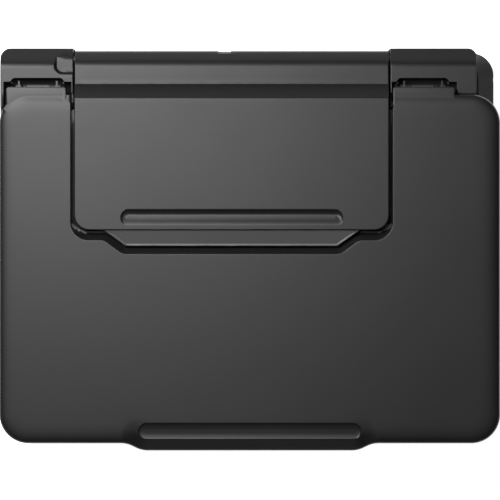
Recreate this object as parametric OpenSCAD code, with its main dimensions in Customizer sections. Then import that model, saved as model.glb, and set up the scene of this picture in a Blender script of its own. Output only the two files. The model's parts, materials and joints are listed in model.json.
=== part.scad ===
// Flatbed inkjet printer with ink tanks, a rear paper feed and a scanner that lifts off its mechanism.
// Millimetres. +Z is up, the front faces -Y, and the origin is at the middle of the footprint, on the table.

/* [Overall] */
// Width, across the document cover
overall_w = 416; // [410:1:424]
// Depth, from the front lip to the power unit at the back
overall_d = 337; // [335:1:341]
// Height of the closed printer
overall_h = 177; // [175:1:180]
// Height of the rubber feet
foot_h = 3; // [2:0.5:4]

/* [Shells] */
// Wall thickness of the moulded shells
wall = 2.5; // [2:0.1:3]
// Corner radius of the main case, in plan
case_r = 25; // [23:1:27]
// Corner radius of the document cover, in plan
cover_r = 24; // [20:1:26]
// Radius of the document cover's top edge
cover_edge = 5; // [3:0.5:6]

/* [Document cover] */
// Half length of the finger groove in the front lip
groove_half = 86; // [70:1:95]
// Radius of the groove's round bottom
groove_r = 10; // [9:0.5:12]
// Depth of the grooves
groove_deep = 2.6; // [1.5:0.1:3]

/* [Paper support] */
// Centre of the paper path, left of the middle
paper_x = -15; // [-16:0.5:-14]
// Width of the folding paper support
support_w = 261.4; // [258:0.2:262]
// Slope of the rear paper ramp
ramp_angle = 63; // [62:0.5:64]
// Largest paper width
paper_w = 216; // [210:1:216]
// Travel of each paper guide
guide_travel = 54; // [30:1:54]

/* [Mechanism] */
// Radius of the carriage's guide shaft
shaft_r = 4; // [3.5:0.1:4.5]
// Radius of the line feed roller
feed_r = 6; // [5.5:0.1:6]
// Teeth of the roller gears
gear_teeth = 36; // [36:2:36]
// Running clearance of shafts, on the radius
running = 0.05; // [0.03:0.01:0.08]
// Backlash of the gears and racks
backlash = 0.2; // [0.15:0.01:0.3]

/* [Hidden] */
$fn = 64;
tiny = 0.01;

// Main planes
front = -overall_d / 2;
back = overall_d / 2;
cover_half = overall_w / 2;
cover_front = front + 6.2;
cover_back = 127.5;
case_half = cover_half - 3;
case_front = front + 10.5;
case_back = 164;
case_top = 116.5;
case_low = foot_h + 5;
rear_case_top = 111;
shoulder = 13;
step_y = [86, 99];
deck_x = 190;

// Scanner unit
scan_half = cover_half - 2;
scan_front = front + 8.5;
scan_low = 118;
scan_split = 140;
scan_top = 160.5;
scan_back = 97;
arm_back = 165.1;
arm_top = 165.5;
arm_front = cover_back + 0.9;
arm_corner = 11;
bay_left = -147;
bay_right = 117;
left_arm = [-scan_half, bay_left];
right_arm = [bay_right, 189];
left_tab = [-202.6, -152.6];
right_tab = [119.6, 170.4];
left_notch = [-204.6, -148.7];
right_notch = [118.5, 172.3];
notch_back = 138;
tab_back = 133.8;
tab_top = 174.5;
hinge_y = 137.4;
hinge_z = 161;
lift_y = 157;
lift_z = 113;

// Document cover
cover_low = 161.5;
recess_floor = 170;
cover_top = overall_h;

// Paper support
pin_y = 157;
pin_z = 156.5;
support_half = support_w / 2;
support_front = 14.9;
panel_low = 170.9;
panel_top = 176.3;
recess_half = support_half + 3;
recess_front = 6.6;
finger_front = -4.8;

// Rear ramp, whose top edge is at (ramp_y, ramp_z)
ramp_y = 149;
ramp_z = 143;
ramp_left = bay_left + 3.5;
ramp_right = bay_right - 3.5;
ramp_len = 93;
guide_gap = paper_w / 2 - 2;
rack_y = -49;
pinion_teeth = 16;
pinion_r = pinion_teeth / 2;

// Print mechanism
home_x = 148;
shaft_y = 46;
shaft_z = 76;
roll_z = 49;
feed_y = 38;
gear_r = gear_teeth / 2;
idler_teeth = 20;
idler_r = idler_teeth / 2;
idler_y = feed_y - gear_r - idler_r;
eject_y = idler_y - idler_r - gear_r;
pinion_motor_teeth = 14;
motor_y = feed_y + gear_r + pinion_motor_teeth / 2;
gear_x = -188;
gear_w = 5;
eject_r = 5.8;
pinch_r = 4;
pinch_z = roll_z + feed_r + pinch_r + 0.3;
belt_z = 90;
belt_r = 7;
belt_y = [57, 63];
motor_pulley_x = 180;
idler_pulley_x = -172;
head_bottom = 58.5;

// Output path
slot_x = [-137, 107];
slot_z = [20, 78];
tray_z = 22.4;
stop_y = -154.5;
stop_z = 28;

// Ink tanks: x range of each
tank_low = case_low;
tank_top = 86;
tank_y = [-152, -62];
neck_y = -105;
cap_hinge_y = neck_y + 12.5;
cap_hinge_z = 94.2;
black_x = [-177, -141];
cyan_x = [113, 133];
magenta_x = [135, 155];
yellow_x = [157, 177];

// Colours
case_c = [0.16, 0.16, 0.165];
trim_c = [0.10, 0.10, 0.105];
dark_c = [0.06, 0.06, 0.065];
frame_c = [0.62, 0.63, 0.65];
white_c = [0.9, 0.9, 0.89];
gear_c = [0.85, 0.84, 0.8];

// ---------- helpers ----------

// Box between two opposite corners
module span(low, high) translate(low) cube(high - low);

// Rod or bore along X
module rod_x(x, y, z, r) translate([x[0], y, z]) rotate([0, 90, 0]) cylinder(h = x[1] - x[0], r = r);

// Plan rectangle with four round corners
module round_rect(x, y, r) {
    translate([x[0] + r, y[0]]) square([x[1] - x[0] - 2 * r, y[1] - y[0]]);
    translate([x[0], y[0] + r]) square([x[1] - x[0], y[1] - y[0] - 2 * r]);
    for (cx = [x[0] + r, x[1] - r], cy = [y[0] + r, y[1] - r]) translate([cx, cy]) circle(r);
}

// Upright slab with a round_rect plan
module slab(x, y, z, r) translate([0, 0, z[0]]) linear_extrude(z[1] - z[0]) round_rect(x, y, r);

// Profile given in (Y, Z), extruded along X
module profile_x(x, points)
    translate([x[0], 0, 0]) rotate([90, 0, 90]) linear_extrude(x[1] - x[0]) polygon(points);

// Points of an S-curve from a to b
function s_curve(a, b, n = 10) =
    [for (i = [0:n]) let (t = i / n, w = t * t * (3 - 2 * t))
        [a[0] + (b[0] - a[0]) * t, a[1] + (b[1] - a[1]) * w]];

// Mirrors a list of plan points about x = c, in reverse order
function mirrored(points, c) = [for (i = [len(points) - 1:-1:0]) [2 * c - points[i][0], points[i][1]]];

// Point of an involute on a base circle, at unrolled angle t in degrees
function involute(base, t) =
    [base * (cos(t) + t * PI / 180 * sin(t)), base * (sin(t) - t * PI / 180 * cos(t))];
function turned(p, a) = [p[0] * cos(a) - p[1] * sin(a), p[0] * sin(a) + p[1] * cos(a)];

// Outline of an involute gear of module 1, with a tooth centred on +X
function gear_points(teeth, pressure = 25) =
    let (
        pitch = teeth / 2,
        base = pitch * cos(pressure),
        tip = pitch + 0.9,
        root = pitch - 1.2,
        tip_t = sqrt(pow(tip / base, 2) - 1) * 180 / PI,
        at_pitch = tan(pressure) * 180 / PI - pressure,
        half = 90 / teeth + at_pitch - backlash / 2 / pitch * 180 / PI,
        flank = [for (i = [0:5]) turned(involute(base, tip_t * i / 5), -half)],
        other = [for (i = [5:-1:0]) [flank[i][0], -flank[i][1]]],
        foot = turned([root, 0], -half),
        tooth = concat([foot], flank, other, [[foot[0], -foot[1]]])
    )
    [for (k = [0:teeth - 1]) for (p = tooth) turned(p, 360 * k / teeth)];

// Gear along X, with a tooth or, when gap is true, a gap towards -Y
module gear_x_axis(teeth, x, y, z, bore, gap = false) {
    translate([x[0], y, z]) rotate([90, 0, 90]) linear_extrude(x[1] - x[0]) difference() {
        rotate(gap ? 180 / teeth : 0) polygon(gear_points(teeth));
        if (bore > 0) circle(bore);
    }
}

// Height of the ramp plate's underside at y
function ramp_under(y) = ramp_z - (ramp_y - y) * tan(ramp_angle) - wall / cos(ramp_angle);

// Places children on the ramp: x across, y up the slope, z square to it
module on_ramp() translate([0, ramp_y, ramp_z]) rotate([ramp_angle, 0, 0]) children();

// Plan of the main part of the scanner unit with its two rear arms
module scanner_plan(inset = 0) {
    difference() {
        round_rect([-scan_half + inset, scan_half - inset], [scan_front + inset, cover_back - 1 - inset],
                   case_r - inset);
        translate([bay_left - inset, scan_back - inset]) square([bay_right - bay_left + 2 * inset, 60]);
        if (inset > 0) translate([-scan_half, scan_back - inset]) square([2 * scan_half, 60]);
    }
    arm_plan(left_arm, inset, left_arm[0] + inset, left_arm[0] + 30);
    arm_plan(right_arm, inset, right_arm[1] - 30, right_arm[1] - inset);
}

// Plan of one rear arm; the outer strip from outer_a to outer_b keeps the round corner
module arm_plan(x, inset, outer_a, outer_b) {
    round_rect([x[0] + inset, x[1] - inset], [scan_back - inset - 20, arm_back - inset], arm_corner - inset);
    inner = outer_a < 0 ? [outer_b, x[1] - inset] : [x[0] + inset, outer_a];
    translate([inner[0], scan_back - inset - 20]) square([inner[1] - inner[0], arm_back - scan_back + 20]);
    translate([x[0] + inset, scan_back - inset - 20]) square([x[1] - x[0] - 2 * inset, 45]);
}

// ---------- case ----------

module rubber_feet() color(dark_c)
    for (x = [-170, 170], y = [-128, 132]) translate([x, y, 0]) cylinder(h = foot_h, r = 10);

screw_at = [[-199.4, -40], [199.4, -40], [-199.4, 70], [199.4, 70], [-100, 158.2], [-10, 158.2]];

module case_screws() color(frame_c) for (p = screw_at) translate([p[0], p[1], 0]) {
    translate([0, 0, foot_h + 0.6]) difference() {
        cylinder(h = 2.2, r = 3.4);
        for (a = [0, 90]) rotate(a) translate([-2, -0.4, -tiny]) cube([4, 0.8, 1]);
    }
    translate([0, 0, foot_h + 2.8]) cylinder(h = 14, r = 1.4);
}

module base_case() color(trim_c) difference() {
    union() {
        slab([-case_half, case_half], [case_front, case_back], [foot_h, case_low], case_r);
        difference() {
            slab([-case_half + 3, case_half - 3], [case_front + 3, case_back - 3],
                 [case_low, case_low + 3], case_r - 3);
            slab([-case_half + 5, case_half - 5], [case_front + 5, case_back - 5],
                 [case_low - tiny, case_low + 4], case_r - 5);
            for (p = screw_at) translate([p[0], p[1], case_low - tiny]) cylinder(h = 5, r = 4.6);
        }
        // socket that guides the cap unit, and ribs under the maintenance cartridge
        difference() {
            span([home_x - 9, 8, case_low - 1], [home_x + 9, 26, 29]);
            span([home_x - 6.3, 10.7, case_low + 2], [home_x + 6.3, 23.3, 30]);
        }
        for (x = [130, 176]) span([x, 100, case_low - 1], [x + 4, 156, 11.8]);
    }
    for (p = screw_at) translate([p[0], p[1], foot_h - tiny]) {
        cylinder(h = 2.8 + tiny, r = 3.8);
        cylinder(h = 10, r = 1.6);
    }
}

module outer_case() color(case_c) difference() {
    union() {
        difference() {
            case_solid(0);
            case_solid(wall);
            // opening in the inner deck, which runs on into the rear feed
            span([-deck_x, -146, rear_case_top], [deck_x, step_y[0] - 6, case_top + 1]);
            span([ramp_left - 1, 60, rear_case_top - 6], [ramp_right + 1, case_back + 1, case_top + 1]);
            for (s = [-1, 1]) span([lift_x(s, 7)[0], lift_y - 5.3, rear_case_top - 6],
                                   [lift_x(s, 7)[1], lift_y + 5.3, case_top]);
        }
        for (p = screw_at) translate([p[0], p[1], case_low]) cylinder(h = 22, r = 4);
        lift_ears(-1);
        lift_ears(1);
    }
    for (p = screw_at) translate([p[0], p[1], case_low - tiny]) cylinder(h = 12, r = 1.5);
    for (s = [-1, 1]) rod_x(lift_x(s, 12.5), lift_y, lift_z, 2.5 + running);
    // front opening for the fascia
    span([-180, case_front - 1, 15], [180, case_front + 5, 113]);
    // rear openings for the power unit, the cartridge and the connector
    span([19.5, case_back - 5, 13.5], [90.5, case_back + 1, 44.5]);
    span([119.5, case_back - 5, 11.5], [190.5, case_back + 1, 48.5]);
    span([-181, case_back - 5, 21.5], [-167, case_back + 1, 34.5]);
    // side vents
    for (s = [-1, 1], i = [0:9]) translate([s * case_half - 5, 20 + i * 7, 40]) cube([10, 2.6, 22]);
}

// Solid of the case, inset for its hollow; the back is lower and has a sloping shoulder
module case_solid(inset) {
    x = [-case_half + inset, case_half - inset];
    y = [case_front + inset, case_back - inset];
    knee = rear_case_top - shoulder;
    slab(x, y, [case_low - (inset > 0 ? tiny : 0), knee], case_r - inset);
    intersection() {
        slab(x, y, [case_low, case_top - inset], case_r - inset);
        profile_x([-250, 250], [
            [-250, case_low], [-250, case_top], [step_y[0] - inset, case_top], [step_y[1] - inset, knee - inset],
            [step_y[1] - inset, case_low]
        ]);
    }
    hull() {
        slab(x, y, [knee - 1, knee], case_r - inset);
        slab([x[0] + shoulder, x[1] - shoulder], [y[0] + 60, y[1] - 1.5],
             [rear_case_top - inset - 0.2, rear_case_top - inset], case_r - inset);
    }
}

// x range of half-width w about each lift hinge
function lift_x(s, w) = s < 0 ? [-175 - w, -175 + w] : [152 - w, 152 + w];

// Two ears of the case that hold one lift hinge of the scanner unit
module lift_ears(s) for (side = [-1, 1]) {
    c = (lift_x(s, 0)[0]) + side * 9;
    rod_x([c - 2.5, c + 2.5], lift_y, lift_z, 4.7);
    span([c - 2.5, lift_y - 4.7, 92], [c + 2.5, case_back - 1, lift_z - 3]);
    span([c - 2.5, lift_y - 4.7, lift_z - 4], [c + 2.5, lift_y + 4.7, lift_z]);
}

module front_fascia() color(case_c) difference() {
    slab_y([-179.5, 179.5], [15.5, 112.5], [case_front, case_front + wall], 3);
    span([slot_x[0] + 2, case_front - 1, slot_z[0] + 2], [slot_x[1] - 2, case_front + 5, slot_z[1] - 2]);
    span([slot_x[0] + 0.5, case_front - 1, 81.5], [slot_x[1] - 0.5, case_front + 5, 110.5]);
    tank_window(black_x);
    tank_window(cyan_x);
    tank_window(magenta_x);
    tank_window(yellow_x);
}

// Plate that faces the front, with round corners
module slab_y(x, z, y, r)
    translate([0, y[1], 0]) rotate([90, 0, 0]) linear_extrude(y[1] - y[0]) round_rect(x, z, r);

module tank_window(x) slab_y([x[0] + 2.5, x[1] - 2.5], [24, 80], [case_front - 1, case_front + 5], 2);

module operation_panel() color(trim_c) difference() {
    slab_y([slot_x[0] + 1, slot_x[1] - 1], [82, 110], [case_front - 2, case_front + wall + 1], 4);
    slab_y([slot_x[0] + 4, slot_x[1] - 4], [85, 107], [case_front, case_front + wall + 2], 3);
    slab_y([-62, -22], [86, 106], [case_front - 3, case_front + tiny], 1.5);
    for (x = button_x) translate([x, case_front + 1, 96]) rotate([90, 0, 0]) cylinder(h = 4, r = 6.2);
}

button_x = [-118, -88, 24, 60];

module lcd_window() color(dark_c) {
    slab_y([-61.7, -22.3], [86.3, 105.7], [case_front - 2.2, case_front + tiny], 1.3);
    slab_y([-65, -19], [85.3, 106.7], [case_front, case_front + 1.2], 1.3);
}

// Push button with a flange behind the panel
module push_button(i) color(white_c * 0.35) translate([button_x[i], case_front, 96]) rotate([90, 0, 0]) {
    translate([0, 0, -1.6]) cylinder(h = 5, r = 6);
    translate([0, 0, -1.6]) cylinder(h = 1.4, r = 7.5);
}

// ---------- paper output ----------

module output_chute() color(trim_c) {
    y = [case_front + wall, -34];
    span([slot_x[0], y[0], slot_z[0]], [slot_x[1], y[1], slot_z[0] + 2]);
    span([slot_x[0], y[0], slot_z[1] - 2], [slot_x[1], y[1], slot_z[1]]);
    for (x = [slot_x[0], slot_x[1] - 2]) span([x, y[0], slot_z[0] + 1], [x + 2, y[1], slot_z[1] - 1]);
}

module output_tray() color(trim_c) difference() {
    span([slot_x[0] + 3, -158, tray_z], [slot_x[1] - 3, -42, tray_z + 6]);
    // channel for the extension, open to the front
    span([-106, -159, tray_z + 1.6], [76, -44, tray_z + 4.4]);
    // cut-out above the paper stop and for the extension's grip
    span([-66, -159, tray_z + 4], [36, -124, tray_z + 7]);
}

module tray_extension() color(trim_c) {
    difference() {
        span([-105, -157.6, tray_z + 1.9], [75, -60, tray_z + 4.1]);
        // hollow under the paper stop
        span([-61, -156.8, tray_z + 3.5], [31, -126, tray_z + 5]);
    }
    for (x = [-64, 31.2]) difference() {
        span([x, stop_y - 2, tray_z + 4], [x + 2.8, stop_y + 2.5, stop_z + 2.2]);
        rod_x([x - 1, x + 4], stop_y, stop_z, 1.2 + running);
    }
}

module paper_stop() color(trim_c) {
    rod_x([-63.8, 33.8], stop_y, stop_z, 1.2);
    rod_x([-60.6, 30.6], stop_y, stop_z, 2);
    span([-60.6, stop_y, stop_z - 1.4], [30.6, -128, stop_z + 0.8]);
}

// ---------- ink ----------

module ink_tank(x, tint) color(tint) difference() {
    c = (x[0] + x[1]) / 2;
    union() {
        span([x[0], tank_y[0], tank_low], [x[1], tank_y[1], tank_top]);
        translate([c, neck_y, tank_top - 1]) cylinder(h = 4.3, r = 6.5);
        for (s = [-1, 1]) span([c + s * 5 - 1, cap_hinge_y - 2.5, tank_top - 1],
                               [c + s * 5 + 1, cap_hinge_y + 2.5, cap_hinge_z + 2]);
    }
    span([x[0] + 1.8, tank_y[0] + 1.8, tank_low + 1.8], [x[1] - 1.8, tank_y[1] - 1.8, tank_top - 1.8]);
    translate([c, neck_y, tank_top - 3]) cylinder(h = 10, r = 4);
    rod_x([c - 8, c + 8], cap_hinge_y, cap_hinge_z, 1 + running);
}

module tank_cap(x, tint) color(tint) {
    c = (x[0] + x[1]) / 2;
    difference() {
        translate([c, neck_y, 89]) cylinder(h = 7.5, r = 8.4);
        translate([c, neck_y, 88]) cylinder(h = 4.4, r = 7.2);
    }
    span([c - 3.4, neck_y + 7, 92.6], [c + 3.4, cap_hinge_y, 95.8]);
    rod_x([c - 3.6, c + 3.6], cap_hinge_y, cap_hinge_z, 1.6);
    rod_x([c - 6.2, c + 6.2], cap_hinge_y, cap_hinge_z, 1);
}

// ---------- print mechanism ----------

module chassis() color(frame_c) difference() {
    union() {
        span([-194, 66, 66], [194, 67.5, 108]);
        span([-194, 56, 106.5], [194, 67.5, 108]);
        for (x = [-194, 192.5]) span([x, 36, 66], [x + 1.5, 67.5, 108]);
        for (x = [-194, 190]) span([x, 66, case_low], [x + 4, 67.5, 67]);
        // ears that hold the pinch rollers
        for (x = pinch_ears) span([x, feed_y - 3, pinch_z - 3], [x + 2, 66.5, 67.6]);
    }
    rod_x([-200, 200], shaft_y, shaft_z, shaft_r + running);
    rod_x([-140, 100], feed_y, pinch_z, 1.5 + running);
    translate([motor_pulley_x, 70, belt_z]) rotate([90, 0, 0]) cylinder(h = 6, r = 5);
    translate([idler_pulley_x, 70, belt_z]) rotate([90, 0, 0]) cylinder(h = 6, r = 2.02);
    for (x = [-110:55:110]) span([x - 15, 65, 78], [x + 15, 69, 84]);
}

pinch_ears = [-132, -90, -18, 54, 92];

module roller_frames() color(frame_c) for (x = [-181.5, 103]) difference() {
    union() {
        span([x, -27, 30], [x + 2, 56, 57.5]);
        span([x, -27, 57], [x + 2, -9, 67]);
        if (x < 0) span([x, 50, 30], [x + 2, 78, 65]);
        span([x, -20, 8], [x + 2, 30, 31]);
    }
    rod_x([x - 1, x + 3], feed_y, roll_z, shaft_r + running);
    rod_x([x - 1, x + 3], eject_y, roll_z, 3 + running);
    if (x < 0) rod_x([x - 1, x + 3], idler_y, roll_z, 2.02);
    if (x < 0) rod_x([x - 1, x + 3], motor_y, roll_z, 4);
}

module guide_shaft() color(frame_c) rod_x([-196, 196], shaft_y, shaft_z, shaft_r);

module line_feed_roller() color(frame_c) {
    rod_x([-177, 100], feed_y, roll_z, feed_r);
    rod_x([gear_x - 1, 109], feed_y, roll_z, shaft_r);
    gear_x_axis(gear_teeth, [gear_x, gear_x + gear_w], feed_y, roll_z, 0);
}

module eject_roller() color(dark_c) {
    rod_x([gear_x - 1, 109], eject_y, roll_z, 3);
    for (x = [-120:30:90]) rod_x([x, x + 8], eject_y, roll_z, eject_r);
    gear_x_axis(gear_teeth, [gear_x, gear_x + gear_w], eject_y, roll_z, 0);
}

module idler_gear() color(gear_c) {
    gear_x_axis(idler_teeth, [gear_x, gear_x + gear_w], idler_y, roll_z, 0, true);
    rod_x([gear_x - 1, -178], idler_y, roll_z, 2);
}

module motor_pinion() color(gear_c) {
    gear_x_axis(pinion_motor_teeth, [gear_x, gear_x + gear_w], motor_y, roll_z, 0, true);
    rod_x([gear_x - 1, -179], motor_y, roll_z, 1.5);
}

module feed_motor() color(frame_c) difference() {
    rod_x([-179.5, -150], motor_y, roll_z, 12);
    rod_x([-180, -178.5], motor_y, roll_z, 3);
}

module pinch_rollers() color(dark_c) {
    rod_x([-138, 97], feed_y, pinch_z, 1.5);
    for (x = [-120:36:60]) rod_x([x, x + 26], feed_y, pinch_z, pinch_r);
}

module star_wheel_bar() color(dark_c) {
    span([-179.5, eject_y - 7, 63], [103, eject_y + 7, 67]);
    for (x = [-116:30:94]) {
        rod_x([x, x + 0.8], eject_y, 60.4, 4.8);
        span([x - 2.5, eject_y - 3, 58], [x - 1, eject_y + 3, 64]);
        rod_x([x - 2, x + 1], eject_y, 60.4, 1);
    }
}

module platen() color(dark_c) {
    span([-140, eject_y + 8, 40], [100, feed_y - 8, 52]);
    for (x = [-132:16:92]) span([x, eject_y + 8, 51], [x + 2, feed_y - 8, 54.2]);
    for (x = [-130, 80]) span([x, 0, 8], [x + 10, 20, 41]);
}

module paper_path_guide() color(trim_c) {
    profile_x([-131, 101], [[47, 50], [86, 50], [107, 56.2], [105.8, 58.9], [85, 53], [47, 53]]);
    for (x = [-120, 80]) span([x, 60, 8], [x + 12, 75, 51]);
}

module carriage() color(dark_c) difference() {
    union() {
        span([home_x - 42, -6, head_bottom], [home_x + 42, 54, 102]);
        span([home_x - 8, 53, 93.6], [home_x + 8, 64.6, 100.4]);
    }
    span([home_x - 39, -3, head_bottom + 3], [home_x + 39, 31, 103]);
    for (s = [-1, 1]) span([home_x + s * 19 - 14, 5, head_bottom - 1],
                           [home_x + s * 19 + 14, 29, head_bottom + 4]);
    span([home_x - 43, 33, head_bottom - 1], [home_x + 43, 55, 68]);
    span([home_x - 30, 36, 84], [home_x + 30, 51, 103]);
    rod_x([home_x - 50, home_x + 50], shaft_y, shaft_z, shaft_r + running);
    span([home_x - 9, belt_y[0] - 0.4, belt_z + belt_r - 1.2],
         [home_x + 9, belt_y[1] + 0.4, belt_z + belt_r + 1.2]);
}

module print_heads() color([0.2, 0.2, 0.22]) for (s = [-1, 1]) {
    c = home_x + s * 19;
    span([c - 17, -2, head_bottom + 3.2], [c + 17, 30, 96]);
    span([c - 13, 6, head_bottom + 0.1], [c + 13, 28, head_bottom + 4]);
    span([c - 12, 4, 95], [c + 12, 26, 104]);
}

// Stadium outline of the belt, at radius r
module belt_outline(r) {
    for (x = [idler_pulley_x, motor_pulley_x]) translate([x, belt_z]) circle(r);
    translate([idler_pulley_x, belt_z - r]) square([motor_pulley_x - idler_pulley_x, 2 * r]);
}

module carriage_belt() color(dark_c)
    translate([0, belt_y[1], 0]) rotate([90, 0, 0]) linear_extrude(belt_y[1] - belt_y[0]) difference() {
        belt_outline(belt_r + 0.7);
        belt_outline(belt_r - 0.7);
    }

// Belt pulley with two rims and its spindle, along Y
module pulley(x, spindle, far) color(gear_c) translate([x, 0, belt_z]) rotate([-90, 0, 0]) {
    translate([0, 0, belt_y[0]]) cylinder(h = belt_y[1] - belt_y[0], r = belt_r - 0.75);
    for (y = [belt_y[0] - 1.2, belt_y[1] + 0.2]) translate([0, 0, y]) cylinder(h = 1, r = belt_r + 1.4);
    translate([0, 0, belt_y[0] - 1.2]) cylinder(h = far - belt_y[0] + 1.2, r = spindle);
}

module carriage_motor() color(frame_c) difference() {
    translate([motor_pulley_x, 67.6, belt_z]) rotate([-90, 0, 0]) cylinder(h = 26, r = 13);
    translate([motor_pulley_x, 67, belt_z]) rotate([-90, 0, 0]) cylinder(h = 6, r = 2.5);
}

module cap_unit() color(dark_c) difference() {
    union() {
        span([home_x - 36, 2, 34], [home_x + 36, 32, 57.8]);
        span([home_x - 6, 11, 20], [home_x + 6, 23, 35]);
    }
    for (s = [-1, 1]) span([home_x + s * 19 - 12, 7, 54], [home_x + s * 19 + 12, 27, 59]);
}

// ---------- rear feed ----------

module rear_tray() color(trim_c) {
    on_ramp() difference() {
        union() {
            span([ramp_left, -ramp_len, -wall], [ramp_right, -0.4, 0]);
            for (x = [ramp_left, ramp_right - 2]) span([x, -ramp_len, -wall], [x + 2, -14, 20]);
            for (x = [-90:30:60]) span([x, -ramp_len, -tiny], [x + 1.6, -3, 0.35]);
        }
        // slots for the lugs of the paper guides
        span([paper_x - guide_gap - 12, rack_y + 9, -5], [paper_x - guide_gap + guide_travel, rack_y + 13, 1]);
        span([paper_x + guide_gap - guide_travel, rack_y - 13, -5], [paper_x + guide_gap + 12, rack_y - 9, 1]);
        rod_x([ramp_left - 1, ramp_right + 1], -84, 14.4, shaft_r + running);
    }
    on_ramp() translate([paper_x, rack_y, -8]) cylinder(h = 6, r = 3);
    for (x = [-96, 96]) profile_x([x, x + 3], [
        [110, case_low], [120, case_low], [120, ramp_under(120) + 1.5], [110, ramp_under(110) + 1.5]
    ]);
    span([ramp_left + 0.5, ramp_y - 1, ramp_z - wall], [ramp_right - 0.5, case_back, ramp_z]);
    span([ramp_left + 0.5, case_back - wall, rear_case_top - 5.8], [ramp_right - 0.5, case_back, ramp_z]);
}

module feed_roller() color(dark_c) on_ramp() {
    rod_x([ramp_left - 4, ramp_right + 4], -84, 14.4, shaft_r);
    for (x = [paper_x - 32, paper_x + 16]) rod_x([x, x + 16], -84, 14.4, 13.6);
}

// One paper guide; s is -1 for the left one and 1 for the right one
module paper_guide(s) color(trim_c) on_ramp() {
    x = paper_x + s * guide_gap;
    lane = rack_y - s * 11;
    out = [min(x, x + s * 3), max(x, x + s * 3)];
    foot = [min(x, x + s * 17), max(x, x + s * 17)];
    lug = [min(x + s * 3, x + s * 11), max(x + s * 3, x + s * 11)];
    span([out[0], -84 + 18, 0.5], [out[1], -25, 20]);
    span([foot[0], -66, 0.5], [foot[1], -30, 2]);
    span([lug[0], lane - 1.5, -7.5], [lug[1], lane + 1.5, 1]);
    rack(s, lane, lug);
}

// Rack bar with teeth that face the pinion
module rack(s, lane, lug) {
    far = paper_x - s * 12;
    bar = [min(far, lug[0]), max(far, lug[1])];
    pitch = rack_y - s * pinion_r;
    n = floor((bar[1] - bar[0] - 6) / PI / 2) * 2;
    translate([0, 0, -7.5]) linear_extrude(3.4) {
        translate([bar[0], min(pitch - s * 1.25, lane - s * 1.5)])
            square([bar[1] - bar[0], abs(lane - s * 1.5 - pitch + s * 1.25)]);
        for (i = [-40:40]) {
            c = paper_x + (i + 0.5) * PI;
            if (c > bar[0] + 2 && c < bar[1] - 2) polygon([
                [c - 1.25, pitch - s * 1.3], [c - 0.3, pitch + s * 0.9], [c + 0.3, pitch + s * 0.9],
                [c + 1.25, pitch - s * 1.3]
            ]);
        }
    }
}

module guide_pinion()
color(gear_c) on_ramp() translate([paper_x, rack_y, -7.4]) linear_extrude(3.2) difference() {
    polygon(gear_points(pinion_teeth));
    circle(3 + running);
}

// ---------- electronics ----------

module main_board() color([0.1, 0.35, 0.2]) {
    span([-192, 84, 20], [-100, 152, 21.6]);
    span([-180.4, 148, 21.5], [-167.6, 164, 33.8]);
    for (p = [[-160, 100, 14], [-135, 100, 10], [-150, 128, 12]])
        span([p[0], p[1], 21.5], [p[0] + p[2], p[1] + p[2], 23.5]);
    for (x = [-188, -108], y = [88, 146]) translate([x, y, case_low]) cylinder(h = 12.2, r = 2.5);
}

module power_supply() color(dark_c) difference() {
    union() {
        span([20, 98, 14], [90, back, 44]);
        for (y = [110, 140]) span([30, y, case_low], [80, y + 6, 15]);
    }
    // figure-eight inlet
    for (x = [51, 59.4]) translate([x, back - 10, 29]) rotate([-90, 0, 0]) cylinder(h = 11, r = 4.2);
    span([51, back - 10, 24.8], [59.4, back + 1, 33.2]);
}

module maintenance_cartridge() color([0.35, 0.35, 0.37]) difference() {
    span([120, 96, 12], [190, 165, 48]);
    span([135, 160, 18], [175, 166, 26]);
}

// ---------- scanner unit ----------

// Lift lug and pin below each arm
module lift_lug(s) {
    x = lift_x(s, 6.2);
    rod_x(x, lift_y, lift_z, 4.7);
    span([x[0], lift_y - 4.7, lift_z], [x[1], lift_y + 4.7, scan_low + 1]);
    rod_x(lift_x(s, 12), lift_y, lift_z, 2.5);
}

module scanner_base() color(case_c) {
    difference() {
        translate([0, 0, scan_low]) linear_extrude(scan_split - scan_low) scanner_plan();
        translate([0, 0, scan_low + wall]) linear_extrude(scan_split) scanner_plan(wall);
    }
    // rail that guides the scan bar
    rod_x([-190, 190], -40, 134, 3);
    for (x = [-190, 187]) span([x, -46, scan_low + 2], [x + 3, -34, 138]);
    lift_lug(-1);
    lift_lug(1);
}

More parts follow.
